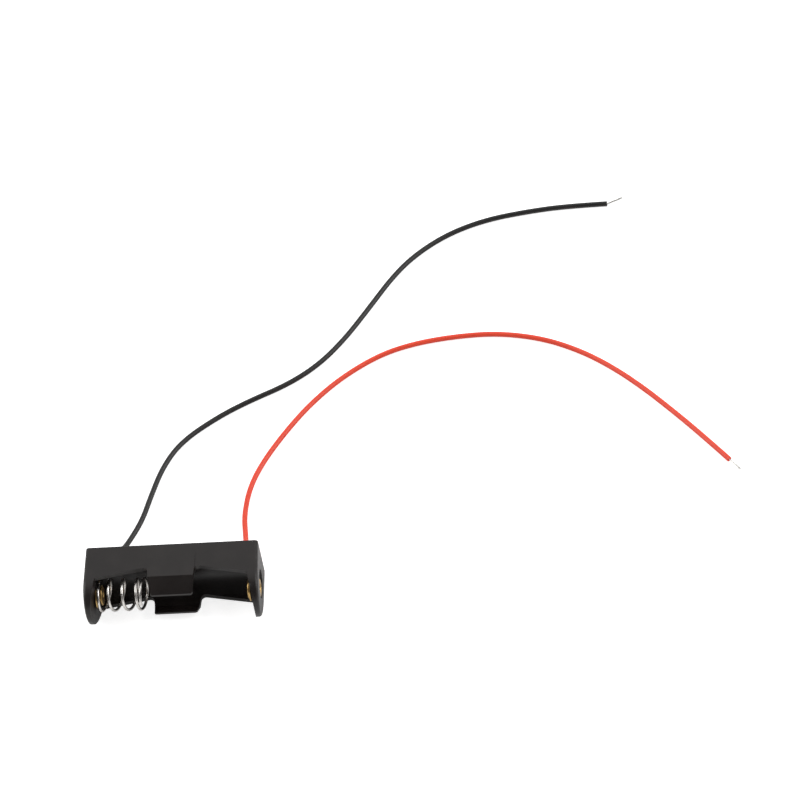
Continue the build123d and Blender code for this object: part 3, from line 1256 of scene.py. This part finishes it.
BLACK_ROUTE = route(
    (-16.545, -1.5, 6.55),
    (-16.545, 0.7, 6.55),
    (-15.95, 2.7, 5.75),
    (-14.35, 4.65, 3.75),
    (-12.84, 6.86, 1.7),
    (-11.74, 9.63, 0.6),
    (-9.01, 15.22, 0.6),
    (-7.37, 21.52, 0.6),
    (-4.89, 29.75, 0.6),
    (-0.85, 36.53, 0.6),
    (6.98, 42.68, 0.6),
    (14.02, 46.79, 0.6),
    (23.31, 51.17, 0.6),
    (30.24, 56.42, 0.6),
    (35.84, 63.19, 0.6),
    (40.84, 70.97, 0.6),
    (46.64, 80.38, 0.6),
    (51.85, 86.3, 0.6),
    (59.13, 91.6, 0.6),
    (67.79, 95.11, 0.6),
    (77.56, 96.88, 0.6),
    (86.68, 97.83, 0.6),
    (95.9, 97.93, 0.6),
)
RED_ROUTE = route(
    (16.545, -1.5, 6.55),
    (16.545, 0.8, 6.55),
    (16.3, 2.8, 5.75),
    (15.9, 4.8, 3.9),
    (15.03, 6.46, 1.85),
    (14.64, 9.73, 0.6),
    (14.13, 15.47, 0.6),
    (15.23, 23.2, 0.6),
    (18.33, 30.46, 0.6),
    (23.54, 38.81, 0.6),
    (28.64, 45.54, 0.6),
    (35.21, 52.14, 0.6),
    (43.86, 58.04, 0.6),
    (51.94, 60.78, 0.6),
    (61.12, 62.16, 0.6),
    (70.84, 62.46, 0.6),
    (80.92, 60.43, 0.6),
    (89.31, 56.62, 0.6),
    (96.61, 51.72, 0.6),
    (103.89, 45.36, 0.6),
    (111.09, 37.98, 0.6),
    (117.36, 31.14, 0.6),
    (123.42, 24.16, 0.6),
)
BLACK_BARE_ROUTE = route((95.9, 97.93, 0.6), (97.25, 98.5, 0.6), (99.5, 99.55, 0.6))
RED_BARE_ROUTE = route((123.42, 24.16, 0.6), (124.6, 22.8, 0.6), (125.95, 21.2, 0.6))

RED_VINYL = Insulation(base=(0.95, 0.08, 0.036, 1.0), shaded=(0.87, 0.064, 0.030, 1.0))
BLACK_VINYL = Insulation(base=(0.012, 0.0115, 0.011, 1.0), shaded=(0.018, 0.017, 0.016, 1.0))


# Surroundings


@dataclass(frozen=True)
class Softbox:
    """A large soft lamp that points at the part.

    Attributes:
        name: Its name.
        place: Where it hangs.
        size: Length of its sides.
        watts: Its power.
    """

    name: str
    place: Point
    size: float
    watts: float

    def hang(self, target: Vector) -> None:
        """Adds the lamp, turned towards a point.

        Args:
            target: The point.
        """
        data = bpy.data.lights.new(self.name, "AREA")
        data.shape = "SQUARE"
        data.size = self.size
        data.energy = self.watts
        lamp = bpy.data.objects.new(self.name, data)
        lamp.location = self.place
        lamp.rotation_euler = (target - Vector(self.place)).to_track_quat("-Z", "Y").to_euler()
        bpy.context.scene.collection.objects.link(lamp)


@dataclass
class Studio:
    """The white surface, the room, the lamps and the camera.

    Attributes:
        front_strength: The room's strength above the front, which the black plastic mirrors.
        back_strength: Its strength above the back.
        back_range: Y of the directions between which it goes from one to the other.
        horizon_strength: Its strength near the horizon.
        horizon_range: Z of the directions between which it goes over to that.
        floor_size: Side of the white surface.
        floor_albedo: The surface's own colour.
        floor_lift: What is added to its white for the camera.
        mirrored_lift: What is added for what metal and plastic mirror.
        lamps: The lamps.
        lit_point: The point that the lamps face.
        target: The point that the camera faces.
        distance: How far from it the camera is.
        azimuth: The camera's angle about Z, in degrees.
        elevation: Its angle above the surface, in degrees.
        roll: How far it is tilted, in degrees.
        lens: Its focal length, in millimetres.
        sensor: Its sensor's width, in millimetres.
        nearest: The nearest distance that it sees.
        farthest: The farthest distance that it sees.
    """

    front_strength: float = 0.08
    back_strength: float = 0.35
    back_range: Range = (-0.3, 0.6)
    horizon_strength: float = 1.0
    horizon_range: Range = (0.24, 0.09)
    floor_size: float = 6.0
    floor_albedo: Colour = (0.86, 0.86, 0.86, 1.0)
    floor_lift: float = 0.78
    mirrored_lift: float = 0.15
    lamps: tuple[Softbox, ...] = (
        Softbox("back_softbox", (0.0, 0.95, 1.25), size=2.2, watts=7.4),
        Softbox("left_softbox", (-1.25, 0.1, 1.1), size=1.2, watts=13.5),
        Softbox("right_softbox", (1.25, 0.1, 1.1), size=1.2, watts=13.5),
    )
    lit_point: Point = (0.0, 0.0, 0.005)
    target: Point = (0.04873, 0.05306, 0.0)
    distance: float = 1.5
    azimuth: float = 9.875
    elevation: float = 53.74
    roll: float = 10.865
    lens: float = 297.5
    sensor: float = 36.0
    nearest: float = 0.05
    farthest: float = 20.0

    def lay_floor(self) -> None:
        """A matt white surface that shows white and keeps the part's shadow."""
        deselect_all()
        bpy.ops.mesh.primitive_plane_add(size=self.floor_size, location=(0, 0, 0))
        floor = bpy.context.object
        floor.name = "white_surface"
        sheet = MaterialSheet("white_paper")
        path = sheet.node("ShaderNodeLightPath").outputs
        seen = Signal(sheet, path["Is Camera Ray"])
        through = Signal(sheet, path["Is Transmission Ray"])
        mirrored = Signal(sheet, path["Is Glossy Ray"]).larger(through)
        lift = seen * self.floor_lift + mirrored * self.mirrored_lift
        matt = sheet.node("ShaderNodeBsdfDiffuse", {}, {"Color": self.floor_albedo})
        glow = sheet.node("ShaderNodeEmission", {}, {"Strength": lift})
        both = sheet.node("ShaderNodeAddShader")
        sheet.tree.links.new(matt.outputs[0], both.inputs[0])
        sheet.tree.links.new(glow.outputs[0], both.inputs[1])
        sheet.show(both)
        floor.data.materials.append(sheet.material)

    def light(self) -> None:
        """The soft room, white at its horizon and dim above the front, and the lamps."""
        room = RoomSheet("white_room")
        towards = room.direction()
        behind = towards["Y"].ramp(*self.back_range)
        horizon = towards["Z"].ramp(*self.horizon_range)
        above = self.front_strength + behind * (self.back_strength - self.front_strength)
        room.fill(above + horizon * (self.horizon_strength - above))
        for lamp in self.lamps:
            lamp.hang(Vector(self.lit_point))

    def aim(self) -> None:
        """The camera, at the photograph's distance, angle and tilt."""
        data = bpy.data.cameras.new("camera")
        data.lens = self.lens
        data.sensor_width = self.sensor
        data.clip_start = self.nearest
        data.clip_end = self.farthest
        camera = bpy.data.objects.new("camera", data)
        turned = Matrix.Rotation(radians(self.azimuth), 4, "Z")
        raised = Matrix.Rotation(pi / 2 - radians(self.elevation), 4, "X")
        rolled = Matrix.Rotation(-radians(self.roll), 4, "Z")
        aimed = turned @ raised @ rolled
        back = aimed @ Vector((0, 0, self.distance))
        camera.matrix_world = Matrix.Translation(Vector(self.target) + back) @ aimed
        bpy.context.scene.collection.objects.link(camera)
        bpy.context.scene.camera = camera

    def build(self) -> None:
        """Makes the surroundings."""
        self.lay_floor()
        self.light()
        self.aim()
        bpy.context.scene.view_settings.view_transform = "Standard"


# The whole part


def main() -> None:
    """Builds every piece in order."""
    brass = RolledBrass().paint("brass")
    strand_metal = TinnedStrand().paint("tinned_strand")
    solder_metal = SolderMetal().paint("solder")
    Studio().build()
    Lead(
        colour="black",
        route=BLACK_ROUTE,
        bare_route=BLACK_BARE_ROUTE,
        exit=(-LAYOUT.window_x, LAYOUT.back, LAYOUT.mid_z),
        length=163.5 * MM,
        finish=BLACK_VINYL,
        splay=0.5,
    ).assemble(strand_metal)
    Lead(
        colour="red",
        route=RED_ROUTE,
        bare_route=RED_BARE_ROUTE,
        exit=(LAYOUT.window_x, LAYOUT.back, LAYOUT.mid_z),
        length=166.8 * MM,
        finish=RED_VINYL,
        splay=1.1,
    ).assemble(strand_metal)
    Housing().assemble()
    spring = CoilSpring()
    spring.assemble()
    TubularRivet(Side.SPRING, spring.rivet_seat, "negative_rivet").assemble(brass)
    TubularRivet(Side.FIXED, LAYOUT.bay_half, "positive_rivet").assemble(brass)
    for node in ("positive_tag", "negative_tag"):
        dress_node(node, brass)
    for node in ("positive_conductor", "negative_conductor"):
        dress_node(node, strand_metal)
    for node in ("positive_solder", "negative_solder"):
        dress_node(node, solder_metal)


if __name__ == "__main__":
    main()
